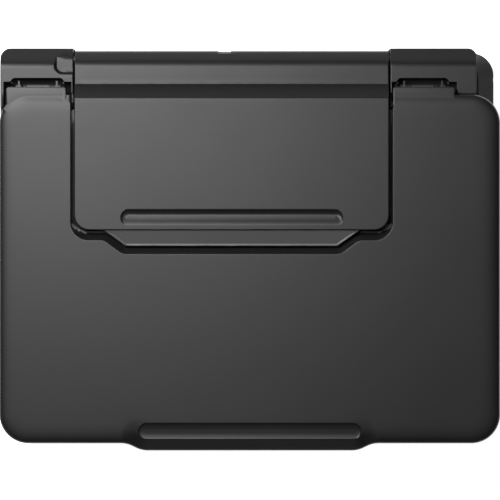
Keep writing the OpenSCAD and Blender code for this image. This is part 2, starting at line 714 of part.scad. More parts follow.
module scanner_frame() color(case_c) {
    difference() {
        intersection() {
            translate([0, 0, scan_split]) linear_extrude(arm_top - scan_split) scanner_plan();
            profile_x([-250, 250], frame_profile);
        }
        // hollow, kept inside the sloping rear face
        intersection() {
            translate([0, 0, scan_split - tiny]) linear_extrude(scan_top - wall - scan_split) scanner_plan(wall);
            profile_x([-250, 250], frame_hollow);
        }
        // glass opening, with a ledge below
        slab([-157, 152], [-150, 74], [scan_split, arm_top], 3);
        // room for the hinge tabs of the document cover
        for (n = [left_notch, right_notch]) span([n[0], 100, scan_top], [n[1], notch_back, arm_top + 1]);
        for (t = [left_tab, right_tab]) span([t[0] + 3, 127, 152], [t[1] - 3, 141.3, arm_top + 1]);
        rod_x([bay_left - 6, bay_right + 6], pin_y, pin_z, 2.5 + running);
        // shallow pocket in the left arm
        slab([-163.4, -135], [144.2, 175], [arm_top - 5, arm_top + 1], 8);
    }
    for (t = [left_tab, right_tab]) {
        rod_x([t[0] + 2, t[1] - 2], hinge_y, hinge_z, 1.5);
        for (x = [t[0] - 0.5, t[1] - 3.5]) span([x, 127, 151], [x + 4, 141.3, scan_top]);
    }
    // ledge that carries the glass
    difference() {
        slab([-160, 155], [-153, 77], [scan_top - 5, scan_top - wall + tiny], 3);
        slab([-157, 152], [-150, 74], [scan_top - 3.2, scan_top], 3);
        slab([-150, 145], [-143, 67], [scan_top - 6, scan_top - 2], 3);
    }
    // bosses that take the pins of the paper support
    for (x = [[bay_left - 6, bay_left - 2], [bay_right + 2, bay_right + 6]]) difference() {
        rod_x(x, pin_y, pin_z, 5);
        rod_x([x[0] - 1, x[1] + 1], pin_y, pin_z, 2.5 + running);
    }
}

// Height of the scanner frame along Y
frame_profile = [
    [-200, scan_split - 1], [-200, scan_top], [arm_front, scan_top], [arm_front, arm_top - 2],
    [arm_front + 0.9, arm_top],
    [153.5, arm_top], [157.5, arm_top - 2], [arm_back, arm_top - 14], [arm_back, scan_split - 1]
];
frame_hollow = [
    [-200, scan_split - 1], [-200, scan_top], [157, 158], [arm_back - wall, arm_top - 16.5],
    [arm_back - wall, scan_split - 1]
];

module platen_glass() color([0.6, 0.7, 0.72, 0.4])
    slab([-156.6, 151.6], [-149.6, 73.6], [scan_top - 3.1, scan_top], 3);

module cis_module() color(dark_c) difference() {
    union() {
        span([-150, -146, 140], [-132, 70, 155]);
        span([-152, -48, 128], [-130, -32, 141]);
    }
    rod_x([-160, -120], -40, 134, 3 + running);
    span([-143, -142, 152], [-139, 66, 156]);
}

// ---------- document cover ----------

// Plan of the recess for the paper support, wider by grow, with its finger pocket
module recess_plan(grow = 0) {
    x = [paper_x - recess_half - grow, paper_x + recess_half + grow];
    round_rect(x, [recess_front - grow, cover_back + 40], 15 + grow);
    slope = s_curve([paper_x - 107 - grow, recess_front - grow], [paper_x - 89 - grow, finger_front - grow]);
    polygon(concat(slope, mirrored(slope, paper_x), [[paper_x + 90, 30], [paper_x - 90, 30]]));
}

// Plan of the front lip
module lip_plan(inset = 0) {
    slope = s_curve([-105 + inset, cover_front], [-87 + inset, front + inset]);
    polygon(concat(slope, mirrored(slope, 0), [[100, cover_front + 12], [-100, cover_front + 12]]));
}

// Long round-ended groove, cut into a top face at height z
module finger_groove(c, y, z, half) {
    centre = z - groove_deep + groove_r;
    rod_x([c - half, c + half], y, centre, groove_r);
    for (s = [-1, 1]) translate([c + s * half, y, centre]) sphere(groove_r);
}

// Rounded slab of the document cover, inset for its hollow
module cover_solid(inset, top) {
    edge = [for (i = [0:5]) [cover_edge * (1 - sin(i * 18)), cover_edge * (1 - cos(i * 18))]];
    hull() {
        slab([-cover_half + inset, cover_half - inset], [cover_front + inset, cover_back - inset],
             [cover_low, cover_low + 1], cover_r - inset);
        for (e = edge) slab([-cover_half + inset + e[1], cover_half - inset - e[1]],
                            [cover_front + inset + e[1], cover_back - inset - e[1]],
                            [top - e[0] - 0.02, top - e[0]], cover_r - inset);
    }
}

module document_cover() color(case_c) {
    difference() {
        union() {
            cover_solid(0, cover_top);
            intersection() {
                translate([0, 0, cover_low]) linear_extrude(20) lip_plan();
                profile_x([-110, 110], [
                    [front, cover_low + 1], [front, 166], [front + 9, 175.4], [front + 14, cover_top - 0.4],
                    [front + 18, cover_top - 0.4], [front + 18, cover_low + 1]
                ]);
            }
            for (t = [left_tab, right_tab]) profile_x(t, [
                [121, 162.2], [121, tab_top], [tab_back - 1, tab_top], [tab_back, tab_top - 1], [tab_back, 166],
                [130, 162.2]
            ]);
        }
        difference() {
            slab([-cover_half + wall, cover_half - wall], [cover_front + wall, cover_back - wall],
                 [cover_low - 0.5, cover_top - wall - 3.5], cover_r - wall);
            translate([0, 0, recess_floor - wall]) linear_extrude(20) recess_plan(wall);
            for (t = [left_tab, right_tab]) span([t[0], 121.5, 162.2], [t[1], tab_back, tab_top]);
        }
        translate([0, 0, recess_floor]) linear_extrude(20) recess_plan();
        // clear of the paper support behind the recess
        span([paper_x - recess_half, 121, cover_low - 2], [paper_x + recess_half, cover_back + 20, cover_top + 1]);
        finger_groove(0, front + 16.3, cover_top - 0.4, groove_half);
    }
    // two knuckles below each tab
    for (k = [
        [left_tab[0] + 9.6, left_tab[0] + 15], [left_tab[1] - 13, left_tab[1] - 7.1],
        [right_tab[0] + 7.1, right_tab[0] + 13], [right_tab[1] - 15, right_tab[1] - 9.6]
    ]) difference() {
        union() {
            rod_x(k, hinge_y, hinge_z, 3.2);
            profile_x(k, [[129, 159.6], [129, 163], [133.7, 166], [136.2, 164], [138, hinge_z], [136.2, 158]]);
        }
        rod_x([k[0] - 1, k[1] + 1], hinge_y, hinge_z, 1.5 + running);
    }
    // thin ledge between the knuckles
    for (x = [[left_tab[0] + 16.1, left_tab[1] - 13.8], [right_tab[0] + 13.8, right_tab[1] - 16.1]])
        span([x[0], 130.5, 162.5], [x[1], 136.2, 165]);
}

module cover_liner() color(white_c) difference() {
    slab([-cover_half + 3, cover_half - 3], [cover_front + 3, 120.8], [cover_low + 2, cover_low + 3.6], cover_r - 3);
    for (x = [-160:40:160]) translate([x, 100, cover_low]) cylinder(h = 8, r = 1.6);
}

module platen_pad() color(white_c) slab([-154, 149], [-147, 71], [scan_top + 0.2, cover_low + 2], 2);

// ---------- paper support ----------

module support_pins() color(frame_c)
    for (x = [[bay_left - 5.8, bay_left + 6], [bay_right - 6, bay_right + 5.8]]) rod_x(x, pin_y, pin_z, 2.5);

// Side view of the support: front edge, top, step down to the rear strip, rear edge, underside
support_side = [
    [support_front, panel_low], [support_front, panel_top - 1], [support_front + 1, panel_top], [124.5, panel_top],
    [126.5, panel_top - 0.6], [136.5, arm_top], [153.5, arm_top], [157.5, arm_top - 2],
    [163.6, 153.5], [162.4, 151.2], [128.5, 162.2], [123, panel_low]
];
support_hollow = [
    [support_front + 2.2, panel_low - 1], [support_front + 2.2, panel_top - 2.2], [124, panel_top - 2.2],
    [135.5, arm_top - 2.4], [152.5, arm_top - 2.4], [156, arm_top - 4], [160.6, 154.4], [158, 150],
    [127.5, 160], [122, panel_low - 1]
];

module support_plan(inset = 0)
    round_rect([paper_x - support_half + inset, paper_x + support_half - inset],
               [support_front + inset, arm_back + 30], 12 - inset);

module paper_support() color(case_c) difference() {
    union() {
        difference() {
            intersection() {
                profile_x([-200, 200], support_side);
                translate([0, 0, 140]) linear_extrude(50) support_plan();
            }
            intersection() {
                profile_x([-200, 200], support_hollow);
                translate([0, 0, 140]) linear_extrude(50) support_plan(2.2);
            }
        }
        for (s = [-1, 1]) rod_x(s < 0 ? [paper_x - support_half + 1, paper_x - support_half + 8]
                                      : [paper_x + support_half - 8, paper_x + support_half - 1],
                                pin_y, pin_z, 4.6);
    }
    for (x = [[bay_left - 1, bay_left + 6.4], [bay_right - 6.4, bay_right + 1]])
        rod_x(x, pin_y, pin_z, 2.5 + running);
    finger_groove(paper_x, 25.3, panel_top, groove_half);
    // small notch in the rear edge
    span([paper_x - 11, 161.5, 140], [paper_x - 1, 170, 170]);
}

module support_liner() color(trim_c) {
    x = [paper_x - support_half + 2.4, paper_x + support_half - 2.4];
    intersection() {
        profile_x(x, [
            [support_front + 2.4, panel_low], [support_front + 2.4, panel_low + 1.5],
            [123.4, panel_low + 1.5],
            [129.6, 163.8], [146, 158.2], [146, 156.6], [128.2, 162.4], [122.6, panel_low]
        ]);
        translate([0, 0, 140]) linear_extrude(50) support_plan(2.4);
    }
    // finger lip in front of the support
    under = panel_low - 0.5;
    intersection() {
        profile_x([-200, 200], [[1.4, under], [1.4, 171.8], [2.4, 172.6], [14.6, 174.6], [14.6, under]]);
        linear_extrude(200) polygon([
            [paper_x - 106, 14.6], [paper_x + 106, 14.6], [paper_x + 88, 1.4], [paper_x - 88, 1.4]
        ]);
    }
    for (x = [paper_x - 76, paper_x - 6, paper_x + 64]) {
        span([x, 14, under], [x + 12, 18, panel_low]);
        span([x, 17.3 + tiny, under], [x + 12, 19, panel_low + 0.8]);
    }
}

rubber_feet();
base_case();
outer_case();
case_screws();
front_fascia();
operation_panel();
lcd_window();
push_button(0);  // power_button
push_button(1);  // wireless_button
push_button(2);  // stop_button
push_button(3);  // start_button
output_chute();
output_tray();
tray_extension();
paper_stop();
ink_tank(black_x, [0.2, 0.2, 0.22]);  // tank_black
ink_tank(cyan_x, [0.2, 0.6, 0.75]);  // tank_cyan
ink_tank(magenta_x, [0.75, 0.2, 0.5]);  // tank_magenta
ink_tank(yellow_x, [0.85, 0.8, 0.2]);  // tank_yellow
tank_cap(black_x, [0.2, 0.2, 0.22]);  // cap_black
tank_cap(cyan_x, [0.2, 0.6, 0.75]);  // cap_cyan
tank_cap(magenta_x, [0.75, 0.2, 0.5]);  // cap_magenta
tank_cap(yellow_x, [0.85, 0.8, 0.2]);  // cap_yellow
chassis();
roller_frames();
guide_shaft();
carriage();
print_heads();
carriage_belt();
pulley(motor_pulley_x, 1.5, 70);  // motor_pulley
pulley(idler_pulley_x, 2, 69);  // idler_pulley
carriage_motor();
cap_unit();
platen();
line_feed_roller();
eject_roller();
idler_gear();
motor_pinion();
feed_motor();
pinch_rollers();
star_wheel_bar();
paper_path_guide();
feed_roller();
rear_tray();
paper_guide(-1);  // guide_left
paper_guide(1);  // guide_right
guide_pinion();
main_board();
power_supply();
maintenance_cartridge();
scanner_base();
scanner_frame();
platen_glass();
cis_module();
document_cover();
cover_liner();
platen_pad();
support_pins();
paper_support();
support_liner();
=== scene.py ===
"""Looks of a flatbed inkjet printer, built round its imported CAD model. Plan shapes are in millimetres."""
import json
import math

import bpy
import numpy as np
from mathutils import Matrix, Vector, geometry


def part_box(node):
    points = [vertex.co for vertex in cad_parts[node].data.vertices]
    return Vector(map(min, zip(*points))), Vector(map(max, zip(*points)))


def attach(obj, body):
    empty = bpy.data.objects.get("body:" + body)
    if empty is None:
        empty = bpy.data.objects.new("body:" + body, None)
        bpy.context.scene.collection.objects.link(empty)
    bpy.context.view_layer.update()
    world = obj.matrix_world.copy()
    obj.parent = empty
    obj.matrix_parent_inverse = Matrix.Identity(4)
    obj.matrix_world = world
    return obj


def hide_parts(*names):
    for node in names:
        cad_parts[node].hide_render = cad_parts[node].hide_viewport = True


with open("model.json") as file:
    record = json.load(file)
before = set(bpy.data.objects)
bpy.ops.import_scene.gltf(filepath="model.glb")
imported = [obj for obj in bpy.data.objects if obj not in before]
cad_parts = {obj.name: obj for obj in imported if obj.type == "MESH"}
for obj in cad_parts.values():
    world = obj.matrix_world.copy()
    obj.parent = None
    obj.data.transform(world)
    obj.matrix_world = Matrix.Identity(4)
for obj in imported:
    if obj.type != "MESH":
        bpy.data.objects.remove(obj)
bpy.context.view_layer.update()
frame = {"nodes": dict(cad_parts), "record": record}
nodes = frame["nodes"]
MM = 0.001


def mm_box(node):
    """Lowest and highest corner of a CAD node, in millimetres."""
    low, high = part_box(node)
    return np.array(low) / MM, np.array(high) / MM


# ---------- plan outlines ----------

ARC_STEP = 1.2
LINE_STEP = 7.0
# how many points are compared at a time, which keeps the memory small
BATCH = 2000
FILL_BATCH = 500


def signed_distance(loop, xy):
    """Distance of plan points from a closed loop, negative inside."""
    loop, xy = np.asarray(loop, float), np.asarray(xy, float)
    a, b = loop, np.roll(loop, -1, axis=0)
    edge = b - a
    length2 = np.maximum((edge ** 2).sum(1), 1e-12)
    rise = np.where(np.abs(edge[:, 1]) < 1e-12, 1e-12, edge[:, 1])
    result = np.empty(len(xy))
    for start in range(0, len(xy), BATCH):
        p = xy[start:start + BATCH, None, :]
        rel = p - a
        t = np.clip((rel * edge).sum(2) / length2, 0, 1)
        near = rel - t[..., None] * edge
        dist = np.sqrt((near ** 2).sum(2).min(1))
        crosses = (a[:, 1] > p[..., 1]) != (b[:, 1] > p[..., 1])
        cross_x = a[:, 0] + (p[..., 1] - a[:, 1]) * edge[:, 0] / rise
        inside = (crosses & (p[..., 0] < cross_x)).sum(1) % 2 == 1
        result[start:start + BATCH] = np.where(inside, -dist, dist)
    return result


class Outline:
    """Closed counter-clockwise plan outline with its outward normals."""

    def __init__(self, points, normals):
        self.points = np.array(points, float)
        self.normals = np.array(normals, float)

    def ring(self, grow):
        points = self.points + self.normals * grow
        return np.vstack([points, points[:1]])

    def distance(self, xy):
        return signed_distance(self.points, xy)


def outline(corners, line_step=LINE_STEP, arc_step=ARC_STEP):
    """Outline from counter-clockwise corners (x, y, radius)."""
    xy = np.array([c[:2] for c in corners], float)
    points, normals = [], []
    for i, (x, y, r) in enumerate(corners):
        into = xy[i] - xy[i - 1]
        out = xy[(i + 1) % len(xy)] - xy[i]
        into /= np.linalg.norm(into)
        out /= np.linalg.norm(out)
        n_in = np.array([into[1], -into[0]])
        n_out = np.array([out[1], -out[0]])
        turn = math.atan2(into[0] * out[1] - into[1] * out[0], into @ out)
        if r <= 0 or abs(turn) < 1e-4:
            points.append(xy[i])
            normals.append((n_in + n_out) / (1 + n_in @ n_out))
            continue
        side = 1 if turn > 0 else -1
        centre = xy[i] - into * r * math.tan(abs(turn) / 2) - n_in * r * side
        steps = max(2, int(abs(turn) * r / arc_step) + 1, int(abs(turn) / math.radians(9)) + 1)
        start = math.atan2(n_in[1] * side, n_in[0] * side)
        for k in range(steps + 1):
            a = start + turn * k / steps
            radial = np.array([math.cos(a), math.sin(a)])
            points.append(centre + radial * r)
            normals.append(radial * side)
    full_p, full_n = [], []
    for i, p in enumerate(points):
        q = points[(i + 1) % len(points)]
        gap = np.linalg.norm(q - p)
        full_p.append(p)
        full_n.append(normals[i])
        d = (q - p) / max(gap, 1e-9)
        pieces = int(gap / line_step)
        for k in range(1, pieces):
            full_p.append(p + (q - p) * k / pieces)
            full_n.append(np.array([d[1], -d[0]]))
    return Outline(full_p, full_n)


def box_outline(x0, y0, x1, y1, r=0.0):
    return outline([(x0, y0, r), (x1, y0, r), (x1, y1, r), (x0, y1, r)])


def clipped(line, edge, margin=0.03):
    """The stretches of a line that lie inside an outline, as a list of open lines."""
    line = np.asarray(line, float)
    inside = signed_distance(edge, line) < -margin
    if inside.all():
        return [line]
    if np.allclose(line[0], line[-1]):
        start = int(np.argmin(inside[:-1]))
        line = np.vstack([line[start:-1], line[:start + 1]])
        inside = np.append(inside[start:-1], inside[:start + 1])
    stretches, current = [], []
    for point, keep in zip(line, inside):
        if keep:
            current.append(point)
        elif current:
            stretches.append(np.array(current))
            current = []
    if current:
        stretches.append(np.array(current))
    return [s for s in stretches if len(s) > 1]


# ---------- solids from two height functions ----------

def densely(line, step=2.5):
    """A line with extra points on its long stretches."""
    points = []
    for a, b in zip(line[:-1], line[1:]):
        n = max(1, int(np.linalg.norm(b - a) / step))
        points += [a + (b - a) * k / n for k in range(n)]
    return np.array([*points, line[-1]])


def fill_points(edge, spacing, avoid, clearance):
    """Regular fill points inside an outline that stay clear of the given lines."""
    low, high = np.min(edge, 0), np.max(edge, 0)
    gx, gy = np.meshgrid(np.arange(low[0] + spacing / 2, high[0], spacing),
                         np.arange(low[1] + spacing / 2, high[1], spacing))
    xy = np.stack([gx.ravel(), gy.ravel()], 1)
    xy = xy[signed_distance(edge, xy) < -clearance]
    if not len(xy):
        return xy
    taken = np.vstack([densely(line) for line in avoid])
    keep = [((xy[i:i + FILL_BATCH, None] - taken) ** 2).sum(2).min(1) > clearance ** 2
            for i in range(0, len(xy), FILL_BATCH)]
    return xy[np.concatenate(keep)]


def triangulate(edge, lines, extra, holes=()):
    """Triangles inside an outline that keep the given lines as edges. Returns plan points and triangles."""
    points, edges = [], []
    for loop in [edge, *holes]:
        base = len(points)
        points += [Vector(p) for p in loop]
        edges += [(base + i, base + (i + 1) % len(loop)) for i in range(len(loop))]
    for line in lines:
        base = len(points)
        points += [Vector(p) for p in line]
        edges += [(base + i, base + i + 1) for i in range(len(line) - 1)]
    points += [Vector(p) for p in extra]
    out, _, faces, _, _, _ = geometry.delaunay_2d_cdt(points, edges, [], 0, 1e-5)
    xy = np.array([(v.x, v.y) for v in out])
    tris = np.array([f for f in faces if len(f) == 3])
    middle = xy[tris].mean(1)
    keep = signed_distance(edge, middle) < 0
    for hole in holes:
        keep &= signed_distance(hole, middle) > 0
    tris = tris[keep]
    a, b, c = xy[tris[:, 0]], xy[tris[:, 1]], xy[tris[:, 2]]
    area = (b[:, 0] - a[:, 0]) * (c[:, 1] - a[:, 1]) - (b[:, 1] - a[:, 1]) * (c[:, 0] - a[:, 0])
    return xy, np.where((area < 0)[:, None], tris[:, ::-1], tris)


def border_loops(tris):
    """Closed loops of the border edges of a set of triangles, each with its triangle on the left."""
    directed = {(int(t[i - 1]), int(t[i])) for t in tris for i in range(3)}
    follow = {a: b for a, b in directed if (b, a) not in directed}
    loops = []
    while follow:
        loop, here = [], min(follow)
        while here in follow:
            loop.append(here)
            here = follow.pop(here)
        loops.append(loop)
    return loops


def loop_area(p):
    q = np.roll(p, -1, axis=0)
    return (p[:, 0] * q[:, 1] - q[:, 0] * p[:, 1]).sum() / 2


def new_object(name, verts, faces, sharp=50):
    mesh = bpy.data.meshes.new(name)
    points = [tuple(float(v) * MM for v in p) for p in verts]
    mesh.from_pydata(points, [], [tuple(int(i) for i in f) for f in faces])
    mesh.validate()
    mesh.shade_smooth()
    mesh.set_sharp_from_angle(angle=math.radians(sharp))
    obj = bpy.data.objects.new(name, mesh)
    bpy.context.scene.collection.objects.link(obj)
    obj.modifiers.new("normals", "WEIGHTED_NORMAL").keep_sharp = True
    return obj


def relief(name, edge, top, bottom, lines=(), low_lines=(), holes=(), spacing=11.0, sharp=50):
    """Closed solid over a plan outline. top and bottom turn plan points into heights; lines become edges."""
    lines = [stretch for line in lines for stretch in clipped(line, edge)]
    walls = [np.vstack([loop, loop[:1]]) for loop in (edge, *holes)]
    xy, tris = triangulate(edge, lines, fill_points(edge, spacing, [*walls, *lines], spacing * 0.35), holes)
    loops = sorted(border_loops(tris), key=lambda loop: -abs(loop_area(xy[loop])))
    rims = [xy[loop] for loop in loops]
    low_walls = [np.vstack([rim, rim[:1]]) for rim in rims]
    low_lines = [stretch for line in low_lines for stretch in clipped(line, rims[0])]
    low_fill = fill_points(rims[0], spacing * 2, [*low_walls, *low_lines], spacing * 0.5)
    low_xy, low_tris = triangulate(rims[0], low_lines, low_fill, rims[1:])
    verts = [(x, y, z) for (x, y), z in zip(xy, top(xy))]
    faces = [tuple(t) for t in tris]
    base = len(verts)
    verts += [(x, y, z) for (x, y), z in zip(low_xy, bottom(low_xy))]
    faces += [(base + t[0], base + t[2], base + t[1]) for t in low_tris]
    below = {(round(x, 3), round(y, 3)): base + i for i, (x, y) in enumerate(low_xy)}
    for loop in loops:
        for i, a in enumerate(loop):
            b = loop[(i + 1) % len(loop)]
            under = [below[round(xy[v][0], 3), round(xy[v][1], 3)] for v in (a, b)]
            faces.append((b, a, *under))
    return new_object(name, verts, faces, sharp)


def prism_x(name, x0, x1, side, sharp=40):
    """Solid from a side view of (y, z) points, counter-clockwise seen from +X, between two x values."""
    n = len(side)
    verts = [(x, y, z) for x in (x0, x1) for y, z in side]
    faces = [tuple(range(n - 1, -1, -1)), tuple(range(n, 2 * n))]
    faces += [(i, (i + 1) % n, n + (i + 1) % n, n + i) for i in range(n)]
    return new_object(name, verts, faces, sharp)


def arc_points(cx, cy, r, start, end, steps):
    return [(cx + r * math.cos(math.radians(a)), cy + r * math.sin(math.radians(a)))
            for a in np.linspace(start, end, steps)]


def smooth_step(t):
    t = np.clip(t, 0, 1)
    return t * t * (3 - 2 * t)


def flat(z):
    return lambda xy: np.full(len(xy), float(z))


def line_x(y, x0, x1, step=6.0):
    """A line along X, as points."""
    return np.array([(x, y) for x in np.linspace(x0, x1, max(2, int(abs(x1 - x0) / step)))])


# rounding of a crisp moulded edge: distance inside the edge and drop
CRISP_IN = np.array([0.0, 0.15, 0.45, 0.9, 1.5])
CRISP_DROP = np.array([0.7, 0.32, 0.1, 0.0, 0.0])


# sizes of that rounding: at outlines, round the recess, and round the slots and notches
EDGE_SIZE = 0.8
RECESS_EDGE_SIZE = 0.6
SLOT_EDGE_SIZE = 0.5
# insets of the mesh lines that carry it at an outline
EDGE_INSETS = (1.2, 0.72, 0.36, 0.12)


def crisp(inset, size):
    return np.interp(inset, CRISP_IN * size, CRISP_DROP * size)


# ---------- main sizes ----------

cover_low, cover_high = mm_box("document_cover")
support_low, support_high = mm_box("paper_support")
frame_low, frame_high = mm_box("scanner_frame")
TOP = cover_high[2]
COVER_X = cover_high[0]
LIP_Y = cover_low[1]
COVER_FRONT = LIP_Y + 6.2
# the cover's front lip: half widths at its root and at its front
LIP_ROOT = 102.3
LIP_HALF = 89.8
LIP_R = 22
COVER_BACK = 127.5
COVER_R = 24.0
COVER_BASE = 161.5
TAB_BACK = 133.8
TAB_DROP = 1.05
TAB_R = 2.5
LEFT_TAB = (-202.6, -152.6)
RIGHT_TAB = (119.0, 170.4)
PAPER_X = (support_low[0] + support_high[0]) / 2
SUPPORT_HALF = (support_high[0] - support_low[0]) / 2
SUPPORT_FRONT = support_low[1]
PANEL_TOP = support_high[2]
RECESS_FLOOR = 170.0
MOAT = 166.2
RECESS_BACK = 121.0
RECESS_L = PAPER_X - SUPPORT_HALF - 3
RECESS_R = PAPER_X + SUPPORT_HALF + 3
RECESS_FRONT = 6.6
RECESS_OPEN_END = 150
# the wider front stretch of the recess, with the liner's lip: half widths behind and in front
FINGER_FRONT = -4.8
FINGER_WIDE = 106
FINGER_NARROW = 90.5
DECK_TOP = 160.5
DECK_BACK = 126.5
ARM_TOP = frame_high[2]
ARM_BACK = frame_high[1] + 1.6
ARM_FRONT = 128.4
LEFT_ARM = (frame_low[0] - 1.7, -147.0)
RIGHT_ARM = (117.0, 189.0)
NOTCH_BACK = 138.0
NOTCH_FRONT = 114.0
RIM_FRONT = 116.2
NOTCH_FLOOR = 150.0
NOTCHES = ((-204.6, -148.7), (118.5, 172.3))
HINGE_Y = 137.4
HINGE_Z = 161.0
PIN_R = 1.1
PIN_STUB = 1.2
GROOVE_HALF = 92.6
GROOVE_R = 6.7

# soft rounding of the cover's outer edge, and the longer slope of its front lip: inset and drop
SOFT_IN = [0.0, 0.35, 0.9, 1.8, 3.2, 5.0, 7.2, 10, 13.5, 18]
SOFT_DROP = [4.5, 3.1, 2.2, 1.45, 0.9, 0.52, 0.28, 0.12, 0.03, 0.0]
LIP_IN = [0.0, 0.12, 0.4, 9.6, 13, 18, 24]
LIP_DROP = [12.0, 10.6, 9.1, 1.75, 0.95, 0.3, 0.0]


def crown(xy):
    """Slight fall of the cover's top away from its middle."""
    side_fall, end_fall, half_depth = 0.35, 0.2, 165
    return side_fall * (xy[:, 0] / COVER_X) ** 2 + end_fall * (xy[:, 1] / half_depth) ** 2


def stadium(cx, cy, half, r):
    return outline([(cx - half - r, cy - r, r), (cx + half + r, cy - r, r),
                    (cx + half + r, cy + r, r), (cx - half - r, cy + r, r)], line_step=9)


GROOVE_RINGS = [0.6, 0.0, -0.35, -0.8, -1.4, -2.1, -3.0, -4.0, -5.2]


def groove_depth(xy, ring, centre_y, rear, front, steep=1.6):
    """Depth of a finger groove with a steep rear wall, for slopes of its rear and front edge."""
    inset = np.maximum(-ring.distance(xy), 0)
    v = np.clip((centre_y + GROOVE_R - xy[:, 1]) / (2 * GROOVE_R), 0, 1)
    bed = 2 * GROOVE_R * v * (1 - v) * (rear * (1 - v) + front * v)
    return np.where(inset > 0, bed * (1 - np.exp(-steep * inset / np.maximum(bed, 0.05))), 0)


def lip_groove(z, xy, inset, centre_y):
    """Cuts the cover's front groove into heights z: steep under its rear edge, level at the lip."""
    v = np.clip((centre_y + GROOVE_R - xy[:, 1]) / (2 * GROOVE_R), 0, 1)
    bed = TOP - crown(xy) - 0.05 - 1.92 * (1 - (1 - v / 0.72) ** 2) - 0.6 * (1 - v) ** 2
    bed = np.minimum(bed, z)
    return np.where(inset > 0, z + (bed - z) * (1 - np.exp(-np.maximum(inset, 0) / 0.35)), z)


# ---------- document cover ----------

def cover_plan():
    front = [(-COVER_X, COVER_FRONT, COVER_R), (-LIP_ROOT, COVER_FRONT, LIP_R), (-LIP_HALF, LIP_Y, LIP_R),
             (LIP_HALF, LIP_Y, LIP_R), (LIP_ROOT, COVER_FRONT, LIP_R), (COVER_X, COVER_FRONT, COVER_R)]
    whole = outline([*front, (COVER_X, COVER_BACK, COVER_R), (-COVER_X, COVER_BACK, COVER_R)])
    corner_r, finger_r = 15, 9
    recess = outline([(RECESS_L, RECESS_FRONT, corner_r), (PAPER_X - FINGER_WIDE, RECESS_FRONT, finger_r),
                      (PAPER_X - FINGER_NARROW, FINGER_FRONT, finger_r),
                      (PAPER_X + FINGER_NARROW, FINGER_FRONT, finger_r),
                      (PAPER_X + FINGER_WIDE, RECESS_FRONT, finger_r), (RECESS_R, RECESS_FRONT, corner_r),
                      (RECESS_R, RECESS_OPEN_END, 0), (RECESS_L, RECESS_OPEN_END, 0)])
    centre = (COVER_R - COVER_X, COVER_BACK - COVER_R)
    start = math.acos((LEFT_TAB[0] - centre[0]) / COVER_R)
    arc = [(centre[0] + COVER_R * math.cos(a), centre[1] + COVER_R * math.sin(a), 0)
           for a in np.linspace(start, math.pi, 14)]
    strip_x = RECESS_L - 0.3
    edge = outline([*front, (COVER_X, COVER_BACK, COVER_R), (RIGHT_TAB[1], COVER_BACK, 0.4),
                    (RIGHT_TAB[1], TAB_BACK, TAB_R), (RIGHT_TAB[0], TAB_BACK, TAB_R),
                    (RIGHT_TAB[0], RECESS_BACK, 0), (strip_x, RECESS_BACK, 0), (strip_x, COVER_BACK, 0.6),
                    (LEFT_TAB[1], COVER_BACK, 0.4), (LEFT_TAB[1], TAB_BACK, TAB_R),
                    (LEFT_TAB[0], TAB_BACK, 3), *arc])
    return whole, recess, edge


def make_cover():
    whole, recess, edge = cover_plan()
    groove_y = LIP_Y + 9.6 + GROOVE_R
    groove = stadium(0, groove_y, GROOVE_HALF - GROOVE_R, GROOVE_R)
    wall = 2.6
    cavity = box_outline(wall - COVER_X, COVER_FRONT + wall, COVER_X - wall, RECESS_BACK - 1, COVER_R - wall)

    def slope_width(y):
        return 0.35 + 5.85 * smooth_step((18 - y) / 9)

    def top(xy):
        x, y = xy[:, 0], xy[:, 1]
        inset = -whole.distance(xy)
        lip = smooth_step((109 - np.abs(x)) / 24) * smooth_step((-120 - y) / 18)
        soft = np.interp(inset, SOFT_IN, SOFT_DROP)
        z = TOP - crown(xy) - soft * (1 - lip) - np.interp(inset, LIP_IN, LIP_DROP) * lip
        tabs = (y > COVER_BACK - 14) & ((x < RECESS_L) | ((x > 118) & (x < RIGHT_TAB[1] + 0.01)))
        raised = np.where(tabs, np.maximum(z, TOP - crown(xy) - TAB_DROP), z)
        z = raised - tabs * crisp(-edge.distance(xy), EDGE_SIZE)
        z = lip_groove(z, xy, -groove.distance(xy), groove_y)
        out = recess.distance(xy)
        rim = z - crisp(np.maximum(out, 0), RECESS_EDGE_SIZE)
        floor = np.interp(-out, [0, 9, 11], [MOAT, MOAT, RECESS_FLOOR])
        t = np.clip(-out / slope_width(y), 0, 1)
        return np.where(out >= 0, rim, rim + (floor - rim) * t)

    def bottom(xy):
        y = xy[:, 1]
        z = COVER_BASE + 3.7 * np.clip(-cavity.distance(xy) / 0.3, 0, 1)
        z = z + np.where(y < COVER_FRONT - 0.5, 1.0, 0)
        return z + np.where(y > COVER_BACK + 0.4, np.clip(0.7 + y - 130, 0.7, 4.5), 0)

    lines = [whole.ring(-d) for d in SOFT_IN[1:]] + [whole.ring(0.2), whole.ring(-0.02)]
    lines += [groove.ring(d) for d in GROOVE_RINGS]
    lines += [recess.ring(d) for d in (1.6, 0.55, 0.28, 0.1, 0.0, -0.35)]
    lines += [line_x(COVER_BACK - d, LEFT_TAB[1] + 0.05, RECESS_L - 0.4, 0.6)
              for d in (0.12, 0.36, 0.72, 1.2, 3.2, 5.2)]
    front_part = box_outline(-160, -30, 130, 16).points
    lines += [piece for d in (-1.6, -3.2, -4.8, -6.2, -6.9, -9, -11)
              for piece in clipped(recess.ring(d), front_part)]
    for x0, x1 in (LEFT_TAB, RIGHT_TAB):
        lines += [np.array([(x0 + i, 120), (x0 + i, TAB_BACK - i), (x1 - i, TAB_BACK - i), (x1 - i, 120)])
                  for i in (*EDGE_INSETS, 0.0, -0.05)]
    return relief("cover_shell", edge.points, top, bottom, lines, [cavity.ring(0), cavity.ring(-0.3),
                  line_x(130, -207, -150), line_x(130, 118, 172)])


# ---------- paper support ----------

